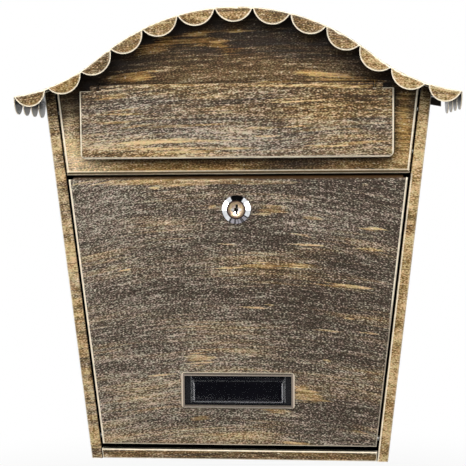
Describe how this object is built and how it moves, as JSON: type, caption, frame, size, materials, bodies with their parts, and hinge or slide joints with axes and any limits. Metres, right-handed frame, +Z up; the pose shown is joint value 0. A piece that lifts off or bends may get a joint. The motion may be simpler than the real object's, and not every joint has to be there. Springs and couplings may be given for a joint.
{
  "type": "wall mounted mailbox",
  "caption": "Wall mailbox of folded steel with a scalloped curved roof, a drop-down locking door with a name window, and a hinged flap over its mail slot.",
  "frame": {"origin": "on the back face, in the middle of the four wall-screw holes", "axes": "+Z up the wall, +X to the right seen from the front, -Y out of the wall, so the front faces -Y and the wall is the plane Y = 0"},
  "size_m": [0.362, 0.102, 0.3734],
  "materials": {
    "antique_bronze": "antique bronze powder coat, brushed with gold",
    "zinc_steel": "zinc plated",
    "chrome": "polished",
    "lock_brass": "satin",
    "black_plastic": "gloss",
    "black_card": "matt",
    "black_foam": "foam",
    "clear_plastic": "clear"
  },
  "bodies": {
    "cabinet": {"back_panel": "antique_bronze", "left_side_panel": "antique_bronze", "right_side_panel": "antique_bronze", "bottom_panel": "antique_bronze", "upper_front_panel": "antique_bronze", "front_panel_rivets": "zinc_steel", "roof": "antique_bronze", "left_door_hinge_pin": "zinc_steel", "right_door_hinge_pin": "zinc_steel"},
    "door": {"door_panel": "antique_bronze", "name_gasket": "black_foam", "name_holder": "black_plastic", "name_window": "clear_plastic", "lock_housing": "chrome", "lock_washer": "zinc_steel", "lock_nut": "zinc_steel"},
    "lock_core": {"lock_plug": "lock_brass", "lock_wafers": "lock_brass", "lock_cam": "zinc_steel", "cam_washer": "zinc_steel", "cam_screw": "zinc_steel"},
    "card": {"name_card": "black_card"},
    "flap": {"mail_flap": "antique_bronze", "flap_hinge_rod": "antique_bronze"}
  },
  "joints": [
    {"name": "door_hinge", "type": "hinge", "parent": "cabinet", "child": "door", "pos_m": [0, -0.082, -0.1416], "axis": [1, 0, 0], "range_deg": [0, 114]},
    {"name": "lock_turn", "type": "hinge", "parent": "door", "child": "lock_core", "pos_m": [0, -0.088, 0.0503], "axis": [0, 1, 0], "range_deg": [0, 90]},
    {"name": "card_slide", "type": "slide", "parent": "door", "child": "card", "axis": [0, 0, 1], "range_m": [0, 0.028]},
    {"name": "flap_hinge", "type": "hinge", "parent": "cabinet", "child": "flap", "pos_m": [0, -0.09202, 0.1509], "axis": [-1, 0, 0], "range_deg": [0, 78]}
  ]
}
